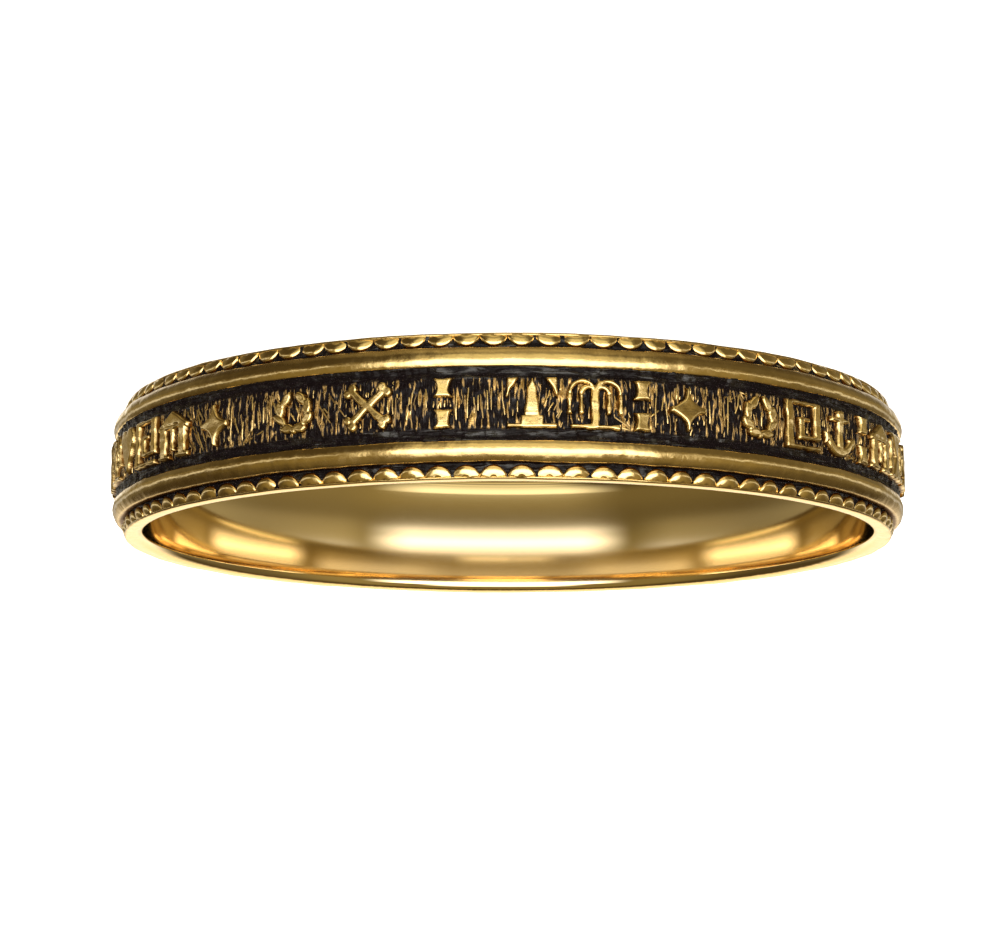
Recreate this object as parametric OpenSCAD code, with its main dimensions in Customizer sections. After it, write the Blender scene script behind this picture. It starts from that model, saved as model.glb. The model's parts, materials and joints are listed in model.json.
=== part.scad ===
// Mourning ring: a gold hoop with a band of raised ornaments in black enamel, a half-round rail
// on each side of the band, and milled edges whose hollows also hold enamel. The outside is a little
// barrel-shaped: the rails lean outwards and the milled edges slope down to the rims.
// It lies on its side: the axis is Z, and the origin is on the axis, under the lower rim.

/* [Hoop] */
// Inside diameter, where the finger goes
finger_d = 17.9; // [15:0.1:22]
// Width of the hoop along its axis
band_w = 3.2; // [3.1:0.05:4]
// Wall from the finger hole to the crest of the rails and ornaments
wall = 0.86; // [0.8:0.02:1.2]
// Rounding of the two inner edges
inner_soft = 0.12; // [0.05:0.01:0.16]

/* [Rails] */
// Width of each rail along the axis
rail_w = 0.44; // [0.36:0.02:0.5]
// Radius of the half-round face of a rail
rail_face_r = 0.34; // [0.32:0.01:0.38]
// How far the crests of the rails stay under the ornaments
rail_drop = 0.07; // [0.04:0.01:0.09]
// How far a rail's round face is shifted towards the middle, so that it leans outwards
rail_lean = 0.05; // [0:0.01:0.06]

/* [Milled edges] */
// Width of each milled edge along the axis
edge_w = 0.36; // [0.34:0.01:0.42]
// Number of grains round each edge
grain_count = 100; // [60:1:106]
// Radius of one grain
grain_r = 0.28; // [0.24:0.01:0.29]
// Slope of the grains' filed faces, in degrees from the ring's axis
file_slope = 33; // [25:1:45]
// Gap between a rail and the crowns of the grains
grain_gap = 0.07; // [0.06:0.01:0.09]
// Height of the plain rim line outside the grains
rim_line = 0.05; // [0.04:0.01:0.08]

/* [Ornament band] */
// Depth of the enamel bed under the crest
bed_depth = 0.44; // [0.36:0.02:0.5]
// Height of the ornaments along the axis
motif_h = 1.08; // [0.96:0.02:1.16]
// Width of a thick stroke
stroke_w = 0.24; // [0.18:0.01:0.26]
// Width of a hairline stroke
hair_w = 0.09; // [0.07:0.01:0.11]

/* [Enamel] */
// How far the band's enamel stays under the crest
enamel_drop = 0.13; // [0.12:0.01:0.2]
// How far the edge enamel stands over the milled edge's floor
edge_fill = 0.08; // [0.06:0.01:0.1]
// Gap between enamel and gold
gap = 0.02; // [0.01:0.005:0.025]

/* [Hidden] */
$fn = 48;
r_in = finger_d / 2;
r_crest = r_in + wall;
r_bed = r_crest - bed_depth;
half_w = band_w / 2;
rail_out = half_w - edge_w;      // the rail's edge beside the grains
rail_in = rail_out - rail_w;     // the rail's edge beside the enamel
// Floor of the milled edge, and the plain rim line that stands over it
floor_rise = 0.01;
rim_rise = 0.07;
rim_bevel = 0.06;
r_floor = r_bed + floor_rise;
r_rim = r_floor + rim_rise;
z_file = half_w - rim_line;      // where the filed faces of the grains end
// A grain's centre lies a little under the floor
grain_seat = 0.04;
r_grain = r_floor - grain_seat;
z_grain = rail_out + grain_gap + sqrt(grain_r ^ 2 - grain_seat ^ 2);
root = 0.1;                      // how deep a raised form is rooted in the metal under it
clear = 0.5;                     // how far a cutting form runs past what it cuts

// Each ornament and its place round the band, in degrees from the middle of the front
PLACES = [
    ["obelisk", 3], ["willow", 11], ["squares", 17.2], ["lozenge", 23.5], ["wreath", 34.5],
    ["fret", 42.3], ["anchor", 50.2], ["squares", 56.4], ["temple", 62.6], ["hourglass", 70.6],
    ["urn", 78.2], ["star", 85.2], ["lozenge", 94], ["heart", 104], ["wreath", 111.2],
    ["obelisk", 118.8], ["bones", 126.5], ["squares", 132.8], ["anchor", 139], ["fret", 147],
    ["willow", 155.2], ["lozenge", 165], ["temple", 175.5], ["wreath", 183], ["chevrons", 190.6],
    ["hourglass", 198.6], ["squares", 204.8], ["urn", 211], ["bones", 218.6], ["star", 225.8],
    ["lozenge", 235], ["fret", 245], ["wreath", 252.5], ["anchor", 260], ["obelisk", 267.5],
    ["squares", 272.9], ["chevrons", 279], ["willow", 286.6], ["heart", 294], ["fret", 301.2],
    ["temple", 309], ["lozenge", 318], ["wreath", 331.5], ["bones", 342], ["squares", 351.8]
];

// The ornaments are drawn flat with half their height as the unit: x runs round the band, y across it.
// Round the band a unit is a share of the circumference, so that they keep their spacing on any size.
half_h = motif_h / 2;
units_round = 114;
unit_w = 2 * PI * r_crest / units_round;
thick = stroke_w / half_h;
thin = hair_w / half_h;
module bar(x, y, w, h) { translate([x - w / 2, y - h / 2]) square([w, h]); }
module disc(x, y, r) { translate([x, y]) circle(r, $fn = 24); }
// A leaf is where two equal circles overlap
module leaf(x, y, turn, length, width) {
    leaf_r = (length ^ 2 + width ^ 2) / (4 * width);
    translate([x, y]) rotate(turn) intersection() {
        translate([0, leaf_r - width / 2]) circle(leaf_r);
        translate([0, width / 2 - leaf_r]) circle(leaf_r);
    }
}
// A hairline along the top or bottom of an ornament
module fillet(side, w) { bar(0, side * (1 - thin / 2), w, thin); }

module obelisk() {
    foot = thick * 0.7;
    polygon([[-0.18, 0.62], [0, 1], [0.18, 0.62], [foot, -0.52], [-foot, -0.52]]);
    bar(0, -0.7, 0.9, 0.4);
    fillet(-1, 2);
    for (side = [-1, 1])
        polygon([[side * 0.55, 1], [side, 1], [side, 0.2], [side * 0.84, 0.55]]);
}
module fret() {
    bar(-0.85, 0, thick * 0.83, 2);
    bar(0.85, 0.22, thick * 0.83, 1.56);
    bar(0.35, -0.5, 1.3, thin);
    bar(-0.15, -0.15, 0.3, 0.86);
    bar(0.08, 0.24, 0.55, thin);
    for (side = [-1, 1]) fillet(side, 2);
}
module squares() {
    for (side = [-1, 1]) difference() {
        bar(0, side * 0.63, 0.74, 0.74);
        for (flank = [-1, 1]) disc(flank * 0.78, side * 0.63, 0.55);
    }
}
module lozenge() {
    difference() {
        bar(0, 0, 1.56, 1.7);
        for (x = [-1, 1], y = [-1, 1]) disc(x * 0.82, y * 0.89, 0.78);
    }
}
module wreath() {
    disc(0, -0.72, 0.14);
    for (side = [-1, 1], step = [0:3]) {
        turn = -90 + side * (26 + 41 * step);
        leaf(0.68 * cos(turn), 0.68 * sin(turn), turn + side * 64, 0.72, 0.37);
    }
}
module bones() {
    for (turn = [-42, 42]) rotate(turn) {
        bar(0, 0, 1.93, 0.3);
        for (end = [-1, 1], side = [-1, 1]) disc(end * 0.98, side * 0.15, 0.185);
    }
}
module anchor() {
    bar(0, 0.02, thick * 0.77, 1.82);
    bar(0, 0.56, 1.3, 0.19);
    disc(0, 0.78, 0.22);
    intersection() {
        difference() {
            disc(0, 0.04, 1.04);
            disc(0, 0.22, 0.85);
        }
        bar(0, -0.67, 2.3, 0.96);
    }
    for (side = [-1, 1]) polygon([[side * 1.11, -0.04], [side * 0.63, -0.19], [side * 1.04, -0.56]]);
}
module hourglass() {
    polygon([[-0.78, 1], [0.78, 1], [0.13, 0], [0.78, -1], [-0.78, -1], [-0.13, 0]]);
    for (side = [-1, 1]) {
        fillet(side, 2.2);
        bar(side * 0.93, 0, 0.26, 1.3);
    }
}
module willow() {
    bar(0, -0.2, thick * 0.75, 1.58);
    fillet(-1, 2);
    for (side = [-1, 1], bough_r = [0.28, 0.52]) translate([side * bough_r, 0.4]) {
        intersection() {
            difference() {
                circle(bough_r + thin / 2);
                circle(bough_r - thin / 2);
            }
            bar(0, 0.5, 2, 1);
        }
        bar(side * bough_r, -0.4, thin, 0.83);
    }
}
module heart() {
    for (side = [-1, 1]) disc(side * 0.43, 0.5, 0.5);
    polygon([[-0.89, 0.35], [0, -1], [0.89, 0.35], [0, 0.63]]);
}
module urn() {
    fillet(-1, 1.67);
    bar(0, -0.76, 0.93, 0.3);
    bar(0, -0.5, 0.3, 0.55);
    intersection() {
        disc(0, 0.26, 0.74);
        bar(0, -0.19, 1.67, 1);
    }
    bar(0, 0.31, 1.85, 0.19);
    polygon([[-0.56, 0.37], [0.56, 0.37], [0.15, 0.74], [-0.15, 0.74]]);
    disc(0, 0.78, 0.22);
}
module temple() {
    polygon([[-1.15, 0.37], [0, 1], [1.15, 0.37]]);
    bar(0, 0.31, 2.22, thin);
    for (side = [-1, 1]) {
        bar(side * 0.74, -0.3, thick, 1.3);
        bar(side * 0.72, thin / 2 - 1, 0.9, thin);
    }
    bar(0, -0.2, 0.19, 0.96);
}
module star() {
    spikes = 6;
    polygon([for (i = [0:2 * spikes - 1]) let (r = i % 2 == 0 ? 1 : 0.44)
        [r * sin(180 * i / spikes), r * cos(180 * i / spikes)]]);
}
module chevrons() {
    for (step = [-1:1]) translate([step * 0.63, 0])
        polygon([[-0.3, 1], [0.07, 1], [0.37, 0], [0.07, -1], [-0.3, -1], [0, 0]]);
}
module ornament(name) {
    if (name == "obelisk") obelisk();
    if (name == "fret") fret();
    if (name == "squares") squares();
    if (name == "lozenge") lozenge();
    if (name == "wreath") wreath();
    if (name == "bones") bones();
    if (name == "anchor") anchor();
    if (name == "hourglass") hourglass();
    if (name == "willow") willow();
    if (name == "heart") heart();
    if (name == "urn") urn();
    if (name == "temple") temple();
    if (name == "star") star();
    if (name == "chevrons") chevrons();
}

// The ornaments as radial blocks, upright for an eye that has the lower rim on top
module ornament_blocks(grow) {
    for (place = PLACES)
        rotate([0, 0, -90 - place[1]]) translate([r_bed - root, 0, 0]) rotate([90, 0, 90])
            rotate(180) linear_extrude(bed_depth + root + clear)
                if (grow > 0) offset(delta = grow) scale([unit_w, half_h]) ornament(place[0]);
                else scale([unit_w, half_h]) ornament(place[0]);
}
module ring_between(r_low, r_high, z_low, z_high) {
    rotate_extrude() translate([r_low, z_low]) square([r_high - r_low, z_high - z_low]);
}

// The grains of the milled edges on the given sides; grow makes them larger, for the hollows round them
module grains(sides, grow) {
    for (side = sides, i = [0:grain_count - 1])
        rotate([0, 0, (i + 0.5) * 360 / grain_count]) translate([r_grain, 0, side * z_grain])
            rotate([0, 90, 0]) sphere(grain_r + grow);
}
// What the grains are filed back to: a cone on each edge
module filed_edges() {
    r_rail_side = r_rim + (z_file - rail_in) * tan(file_slope);
    rotate_extrude() polygon([
        [r_bed - root, -z_file], [r_rim, -z_file], [r_rail_side, -rail_in],
        [r_rail_side, rail_in], [r_rim, z_file], [r_bed - root, z_file]
    ]);
}

// Sections of the hoop: x is the radius, y runs along the axis from the middle
module rail_section() {
    face_centre = [r_crest - rail_drop - rail_face_r, (rail_in + rail_out) / 2 - rail_lean];
    intersection() {
        translate(face_centre) circle(rail_face_r);
        translate([r_bed - root, rail_in]) square([bed_depth + root + clear, rail_w]);
    }
    translate([r_bed - root, rail_in]) square([face_centre[0] - r_bed + root, rail_w]);
}
module wall_section() {
    difference() {
        translate([r_in, -half_w]) square([r_bed - r_in, band_w]);
        for (side = [0, 1]) mirror([0, side]) difference() {
            translate([r_in - clear, half_w - inner_soft]) square([clear + inner_soft, clear]);
            translate([r_in + inner_soft, half_w - inner_soft]) circle(inner_soft);
        }
    }
}
module edge_section() {
    polygon([
        [r_bed - root, rail_out - root], [r_floor, rail_out - root], [r_floor, z_file - rim_rise],
        [r_rim, z_file], [r_rim, half_w - rim_bevel / 2], [r_rim - rim_bevel, half_w],
        [r_bed - root, half_w]
    ]);
}
module hoop_section() {
    wall_section();
    for (side = [0, 1]) mirror([0, side]) {
        rail_section();
        edge_section();
    }
}

module hoop() {
    color("goldenrod") translate([0, 0, half_w]) {
        rotate_extrude() hoop_section();
        intersection() {
            grains([-1, 1], 0);
            filed_edges();
        }
        intersection() {
            ornament_blocks(0);
            ring_between(r_bed - root, r_crest, -rail_in, rail_in);
        }
    }
}
module enamel_band() {
    color("black") translate([0, 0, half_w]) difference() {
        ring_between(r_bed + gap, r_crest - enamel_drop, gap - rail_in, rail_in - gap);
        ornament_blocks(gap);
    }
}
// The enamel of one milled edge: side is 1 for the upper edge and -1 for the lower one
module edge_enamel(side) {
    color("black") translate([0, 0, half_w]) difference() {
        mirror([0, 0, side > 0 ? 0 : 1])
            ring_between(r_floor + gap, r_floor + edge_fill, rail_out + gap, z_file - rim_rise - gap);
        grains([side], gap);
    }
}

hoop();
enamel_band();
edge_enamel(1);  // upper_edge_enamel
edge_enamel(-1);  // lower_edge_enamel
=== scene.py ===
# Looks of a gold and black enamel mourning ring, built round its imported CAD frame.
# Round the band a place is an angle in degrees from the front, positive to the right of the main picture,
# and across it v is the height above the middle of the band in that picture, where the ring lies rim up.
import json
import math

import bpy
import numpy as np
from mathutils import Matrix, Vector


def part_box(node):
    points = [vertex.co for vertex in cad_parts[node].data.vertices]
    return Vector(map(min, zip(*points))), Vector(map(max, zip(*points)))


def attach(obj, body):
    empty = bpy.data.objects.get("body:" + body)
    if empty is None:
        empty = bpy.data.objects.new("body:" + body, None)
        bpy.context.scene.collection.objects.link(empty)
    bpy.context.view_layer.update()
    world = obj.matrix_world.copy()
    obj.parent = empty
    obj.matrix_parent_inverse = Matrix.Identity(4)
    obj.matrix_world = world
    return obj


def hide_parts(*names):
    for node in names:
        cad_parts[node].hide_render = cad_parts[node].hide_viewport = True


bl_info = {
    "name": "Mourning ring",
    "version": (1, 0, 0),
    "blender": (4, 5, 0),
    "location": "3D View > Sidebar > Mourning ring",
    "description": "Builds the looks of a gold band ring with raised ornaments in black enamel",
    "category": "Object",
}

MM = 0.001
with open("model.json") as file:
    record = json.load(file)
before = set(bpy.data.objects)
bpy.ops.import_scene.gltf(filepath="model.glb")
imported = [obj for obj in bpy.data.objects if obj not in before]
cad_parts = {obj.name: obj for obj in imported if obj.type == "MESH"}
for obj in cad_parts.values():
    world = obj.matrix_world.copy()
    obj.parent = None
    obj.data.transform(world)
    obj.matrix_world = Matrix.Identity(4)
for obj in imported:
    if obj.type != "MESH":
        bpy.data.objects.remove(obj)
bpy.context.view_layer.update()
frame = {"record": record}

# Sizes that the frame gives
RECORD = frame["record"]
FINGER = next(m for m in RECORD["mounts"] if m["name"] == "finger_hole")
HOOP_LOW, HOOP_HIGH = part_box("hoop")
BAND_LOW, BAND_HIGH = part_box("enamel_band")
EDGE_LOW, EDGE_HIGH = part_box("upper_edge_enamel")
FIT_GAP = 0.02 * MM                   # the gap that the CAD keeps between enamel and gold
HALF_WIDTH = HOOP_HIGH.z / 2
CREST_RADIUS = max(HOOP_HIGH.x, HOOP_HIGH.y, -HOOP_LOW.x, -HOOP_LOW.y)
ORNAMENT_UNIT = math.tau * CREST_RADIUS / 114   # the ornaments' unit round the band, as in the CAD

# Each ornament and its place round the band, in degrees from the middle of the front, as in the CAD
PLACES = [
    ("obelisk", 3), ("willow", 11), ("squares", 17.2), ("lozenge", 23.5), ("wreath", 34.5),
    ("fret", 42.3), ("anchor", 50.2), ("squares", 56.4), ("temple", 62.6), ("hourglass", 70.6),
    ("urn", 78.2), ("star", 85.2), ("lozenge", 94), ("heart", 104), ("wreath", 111.2),
    ("obelisk", 118.8), ("bones", 126.5), ("squares", 132.8), ("anchor", 139), ("fret", 147),
    ("willow", 155.2), ("lozenge", 165), ("temple", 175.5), ("wreath", 183), ("chevrons", 190.6),
    ("hourglass", 198.6), ("squares", 204.8), ("urn", 211), ("bones", 218.6), ("star", 225.8),
    ("lozenge", 235), ("fret", 245), ("wreath", 252.5), ("anchor", 260), ("obelisk", 267.5),
    ("squares", 272.9), ("chevrons", 279), ("willow", 286.6), ("heart", 294), ("fret", 301.2),
    ("temple", 309), ("lozenge", 318), ("wreath", 331.5), ("bones", 342), ("squares", 351.8),
]


def linear(hex_colour):
    """An sRGB hex colour as linear red, green and blue."""
    channels = [int(hex_colour[i:i + 2], 16) / 255 for i in (1, 3, 5)]
    return tuple(c / 12.92 if c <= 0.04045 else ((c + 0.055) / 1.055) ** 2.4 for c in channels)


class RingSizes(bpy.types.PropertyGroup):
    """Sizes of the hoop, its rails, ornaments and enamel"""
    finger_radius: bpy.props.FloatProperty(
        name="Finger radius", description="Radius of the hole where the finger goes",
        default=FINGER["dims"]["r_mm"] * MM, unit="LENGTH", precision=5)
    inner_soft: bpy.props.FloatProperty(
        name="Inner rounding", description="Rounding of the two inner edges",
        default=0.22 * MM, unit="LENGTH", precision=5)
    rail_inner: bpy.props.FloatProperty(
        name="Rail's inner edge", description="Height of a rail's edge beside the enamel, from the middle",
        default=BAND_HIGH.z - HALF_WIDTH + FIT_GAP, unit="LENGTH", precision=5)
    rail_outer: bpy.props.FloatProperty(
        name="Rail's outer edge", description="Height of a rail's edge beside the grains, from the middle",
        default=EDGE_LOW.z - HALF_WIDTH - FIT_GAP, unit="LENGTH", precision=5)
    rail_face: bpy.props.FloatProperty(
        name="Rail's face radius", description="Radius of the half-round face of a rail",
        default=0.34 * MM, unit="LENGTH", precision=5)
    rail_drop: bpy.props.FloatProperty(
        name="Rail drop", description="How far the crests of the rails stay under the ornaments",
        default=0.07 * MM, unit="LENGTH", precision=5)
    rail_lean: bpy.props.FloatProperty(
        name="Rail lean", description="How far a rail's round face is shifted towards the middle",
        default=0.05 * MM, unit="LENGTH", precision=5)
    bed_depth: bpy.props.FloatProperty(
        name="Bed depth", description="Depth of the enamel bed under the ornaments' tops",
        default=0.44 * MM, unit="LENGTH", precision=5)
    edge_floor: bpy.props.FloatProperty(
        name="Milled floor depth", description="Depth of the milled edges' floor under the ornaments' tops",
        default=0.43 * MM, unit="LENGTH", precision=5)
    edge_rise: bpy.props.FloatProperty(
        name="Rim rise", description="How far the plain rim line stands over the milled floor",
        default=0.07 * MM, unit="LENGTH", precision=5)
    rim_line: bpy.props.FloatProperty(
        name="Rim line", description="Height of the plain rim line outside the grains",
        default=0.05 * MM, unit="LENGTH", precision=5)
    bore_wear: bpy.props.FloatProperty(
        name="Bore wear", description="How far the worn finger hole opens towards its two rims",
        default=0.02 * MM, unit="LENGTH", precision=5)
    grain_count: bpy.props.IntProperty(
        name="Grains", description="Number of grains round each milled edge", default=100, min=12)
    grain_radius: bpy.props.FloatProperty(
        name="Grain radius", description="Radius of one grain before it is filed",
        default=0.31 * MM, unit="LENGTH", precision=5)
    grain_gap: bpy.props.FloatProperty(
        name="Grain gap", description="Gap between a rail and the crowns of the grains",
        default=0.035 * MM, unit="LENGTH", precision=5)
    file_slope: bpy.props.FloatProperty(
        name="Filed slope", description="Slope of the grains' filed faces, from the ring's axis",
        default=math.radians(33), unit="ROTATION")
    motif_height: bpy.props.FloatProperty(
        name="Ornament height", description="Height of the ornaments along the ring's axis",
        default=1.08 * MM, unit="LENGTH", precision=5)
    stroke_width: bpy.props.FloatProperty(
        name="Thick stroke", description="Width of a thick stroke of an ornament",
        default=0.24 * MM, unit="LENGTH", precision=5)
    hair_width: bpy.props.FloatProperty(
        name="Hairline", description="Width of a hairline stroke of an ornament",
        default=0.09 * MM, unit="LENGTH", precision=5)
    enamel_drop: bpy.props.FloatProperty(
        name="Enamel drop", description="How far the band's enamel stays under the ornaments' tops",
        default=0.13 * MM, unit="LENGTH", precision=5)
    edge_fill: bpy.props.FloatProperty(
        name="Edge enamel", description="How far the edge enamel stands over the milled floor",
        default=0.06 * MM, unit="LENGTH", precision=5)


class RingFinish(bpy.types.PropertyGroup):
    """Colours and wear of the ring"""
    gold: bpy.props.FloatVectorProperty(
        name="Gold", description="Colour of the clean 22-carat gold",
        subtype="COLOR", size=3, min=0, max=1, default=linear("#FEE09E"))
    bore_gold: bpy.props.FloatVectorProperty(
        name="Bore gold", description="Paler colour of the bore, which the finger keeps rubbing",
        subtype="COLOR", size=3, min=0, max=1, default=linear("#FFE9BC"))
    # This brown stands for tarnish and also for painted shade in the recesses, on the rims and on the rails' outer
    # flanks
    tarnish_and_shade: bpy.props.FloatVectorProperty(
        name="Tarnish and shade", description="Colour of the brown film that old gold keeps in its recesses",
        subtype="COLOR", size=3, min=0, max=1, default=linear("#6B4416"))
    enamel: bpy.props.FloatVectorProperty(
        name="Enamel", description="Colour of the fired black enamel",
        subtype="COLOR", size=3, min=0, max=1, default=linear("#0D0809"))
    ground: bpy.props.FloatVectorProperty(
        name="Bared ground", description="Colour of the dull gold that shows on the ridges between the graver's cuts",
        subtype="COLOR", size=3, min=0, max=1, default=linear("#C7A265"))
    floor: bpy.props.FloatVectorProperty(
        name="Floor", description="Colour of the plain floor",
        subtype="COLOR", size=3, min=0, max=1, default=linear("#F4F4F4"))
    wear_depth: bpy.props.FloatProperty(
        name="Wear", description="How far wear and knocks move the face of the gold",
        default=0.075 * MM, unit="LENGTH", precision=5)


def bed_radius(sizes):
    return CREST_RADIUS - sizes.bed_depth


def floor_radius(sizes):
    return CREST_RADIUS - sizes.edge_floor


# Flat forms, each as the signed distance from its outline, negative inside. A point p is its x and y.
def bar(p, x, y, w, h):
    dx = np.abs(p[0] - x) - w / 2
    dy = np.abs(p[1] - y) - h / 2
    return np.hypot(np.maximum(dx, 0), np.maximum(dy, 0)) + np.minimum(np.maximum(dx, dy), 0)


def disc(p, x, y, r):
    return np.hypot(p[0] - x, p[1] - y) - r


def polygon(p, corners):
    nearest = np.full(p[0].shape, np.inf)
    inside = np.zeros(p[0].shape, bool)
    for (ax, ay), (bx, by) in zip(corners, corners[1:] + corners[:1]):
        ex, ey = bx - ax, by - ay
        along = np.clip(((p[0] - ax) * ex + (p[1] - ay) * ey) / (ex * ex + ey * ey), 0, 1)
        nearest = np.minimum(nearest, np.hypot(p[0] - ax - along * ex, p[1] - ay - along * ey))
        if ey:
            inside ^= ((ay > p[1]) != (by > p[1])) & (p[0] < ax + ex * (p[1] - ay) / ey)
    return np.where(inside, -nearest, nearest)


def turned(p, degrees):
    c, s = math.cos(math.radians(degrees)), math.sin(math.radians(degrees))
    return p[0] * c + p[1] * s, p[1] * c - p[0] * s


def moved(p, x, y):
    return p[0] - x, p[1] - y


def union(*forms):
    return np.minimum.reduce(forms)


def common(*forms):
    return np.maximum.reduce(forms)


def cut(form, *tools):
    return np.maximum.reduce([form] + [-tool for tool in tools])


def leaf(p, x, y, turn, length, width):
    """Where two equal discs overlap."""
    leaf_r = (length ** 2 + width ** 2) / (4 * width)
    p = turned(moved(p, x, y), turn)
    return common(disc(p, 0, leaf_r - width / 2, leaf_r), disc(p, 0, width / 2 - leaf_r, leaf_r))


def fillet(p, side, w, thin):
    """A hairline along the top or bottom of an ornament."""
    return bar(p, 0, side * (1 - thin / 2), w, thin)


# The ornaments, with half their height as the unit, as in the CAD
def obelisk(p, thick, thin):
    foot = thick * 0.7
    pillar = polygon(p, [(-0.18, 0.62), (0, 1), (0.18, 0.62), (foot, -0.52), (-foot, -0.52)])
    drapes = [polygon(p, [(s * 0.55, 1), (s, 1), (s, 0.2), (s * 0.84, 0.55)]) for s in (-1, 1)]
    return union(pillar, bar(p, 0, -0.7, 0.9, 0.4), fillet(p, -1, 2, thin), *drapes)


def fret(p, thick, thin):
    return union(
        bar(p, -0.85, 0, thick * 0.83, 2), bar(p, 0.85, 0.22, thick * 0.83, 1.56),
        bar(p, 0.35, -0.5, 1.3, thin), bar(p, -0.15, -0.15, 0.3, 0.86), bar(p, 0.08, 0.24, 0.55, thin),
        fillet(p, -1, 2, thin), fillet(p, 1, 2, thin))


def squares(p, thick, thin):
    return union(*[
        cut(bar(p, 0, s * 0.63, 0.74, 0.74), disc(p, -0.78, s * 0.63, 0.55), disc(p, 0.78, s * 0.63, 0.55))
        for s in (-1, 1)])


def lozenge(p, thick, thin):
    bites = [disc(p, x * 0.82, y * 0.89, 0.78) for x in (-1, 1) for y in (-1, 1)]
    return cut(bar(p, 0, 0, 1.56, 1.7), *bites)


def wreath(p, thick, thin):
    leaves = []
    for side in (-1, 1):
        for step in range(4):
            turn = -90 + side * (26 + 41 * step)
            x, y = 0.68 * math.cos(math.radians(turn)), 0.68 * math.sin(math.radians(turn))
            leaves.append(leaf(p, x, y, turn + side * 64, 0.72, 0.37))
    return union(disc(p, 0, -0.72, 0.14), *leaves)


def bones(p, thick, thin):
    forms = []
    for turn in (-42, 42):
        q = turned(p, turn)
        forms.append(bar(q, 0, 0, 1.93, 0.3))
        forms += [disc(q, end * 0.98, side * 0.15, 0.185) for end in (-1, 1) for side in (-1, 1)]
    return union(*forms)


def anchor(p, thick, thin):
    arms = common(cut(disc(p, 0, 0.04, 1.04), disc(p, 0, 0.22, 0.85)), bar(p, 0, -0.67, 2.3, 0.96))
    flukes = [polygon(p, [(s * 1.11, -0.04), (s * 0.63, -0.19), (s * 1.04, -0.56)]) for s in (-1, 1)]
    return union(
        bar(p, 0, 0.02, thick * 0.77, 1.82), bar(p, 0, 0.56, 1.3, 0.19), disc(p, 0, 0.78, 0.22), arms, *flukes)


def hourglass(p, thick, thin):
    glass = polygon(p, [(-0.78, 1), (0.78, 1), (0.13, 0), (0.78, -1), (-0.78, -1), (-0.13, 0)])
    posts = [bar(p, s * 0.93, 0, 0.26, 1.3) for s in (-1, 1)]
    return union(glass, fillet(p, -1, 2.2, thin), fillet(p, 1, 2.2, thin), *posts)


def willow(p, thick, thin):
    forms = [bar(p, 0, -0.2, thick * 0.75, 1.58), fillet(p, -1, 2, thin)]
    for side in (-1, 1):
        for bough_r in (0.28, 0.52):
            q = moved(p, side * bough_r, 0.4)
            arch = cut(disc(q, 0, 0, bough_r + thin / 2), disc(q, 0, 0, bough_r - thin / 2))
            forms += [common(arch, bar(q, 0, 0.5, 2, 1)), bar(q, side * bough_r, -0.4, thin, 0.83)]
    return union(*forms)


def heart(p, thick, thin):
    point = polygon(p, [(-0.89, 0.35), (0, -1), (0.89, 0.35), (0, 0.63)])
    return union(disc(p, -0.43, 0.5, 0.5), disc(p, 0.43, 0.5, 0.5), point)


def urn(p, thick, thin):
    return union(
        fillet(p, -1, 1.67, thin), bar(p, 0, -0.76, 0.93, 0.3), bar(p, 0, -0.5, 0.3, 0.55),
        common(disc(p, 0, 0.26, 0.74), bar(p, 0, -0.19, 1.67, 1)), bar(p, 0, 0.31, 1.85, 0.19),
        polygon(p, [(-0.56, 0.37), (0.56, 0.37), (0.15, 0.74), (-0.15, 0.74)]), disc(p, 0, 0.78, 0.22))


def temple(p, thick, thin):
    columns = [bar(p, s * 0.74, -0.3, thick, 1.3) for s in (-1, 1)]
    steps = [bar(p, s * 0.72, thin / 2 - 1, 0.9, thin) for s in (-1, 1)]
    roof = polygon(p, [(-1.15, 0.37), (0, 1), (1.15, 0.37)])
    return union(roof, bar(p, 0, 0.31, 2.22, thin), bar(p, 0, -0.2, 0.19, 0.96), *columns, *steps)


def star(p, thick, thin):
    reach = [(1, 0.44)[i % 2] for i in range(12)]
    return polygon(p, [(r * math.sin(math.pi * i / 6), r * math.cos(math.pi * i / 6)) for i, r in enumerate(reach)])


def chevrons(p, thick, thin):
    corners = [(-0.3, 1), (0.07, 1), (0.37, 0), (0.07, -1), (-0.3, -1), (0, 0)]
    return union(*[polygon(moved(p, step * 0.63, 0), corners) for step in (-1, 0, 1)])


ORNAMENTS = {
    "obelisk": obelisk, "fret": fret, "squares": squares, "lozenge": lozenge, "wreath": wreath,
    "bones": bones, "anchor": anchor, "hourglass": hourglass, "willow": willow, "heart": heart,
    "urn": urn, "temple": temple, "star": star, "chevrons": chevrons,
}


def waves(angle, v, size, seed, count=14):
    """Smooth random relief of about one unit, with bumps of that size, that closes round the ring."""
    draw = np.random.default_rng(seed)
    total = np.zeros(np.broadcast(angle, v).shape)
    for _ in range(count):
        heading = draw.uniform(0, math.tau)
        length = size * draw.uniform(0.7, 1.6)
        turns = round(math.tau * CREST_RADIUS / length * math.cos(heading))
        across = math.tau / length * math.sin(heading)
        total += np.sin(turns * np.radians(angle) + across * v + draw.uniform(0, math.tau))
    return total / math.sqrt(count / 2)


def around(angle, v, radius):
    """Points of the ring in the row frame from their angle, height and radius."""
    angle, v, radius = np.broadcast_arrays(np.radians(angle), v, radius)
    return np.stack([-radius * np.sin(angle), -radius * np.cos(angle), HALF_WIDTH - v], axis=-1)


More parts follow.
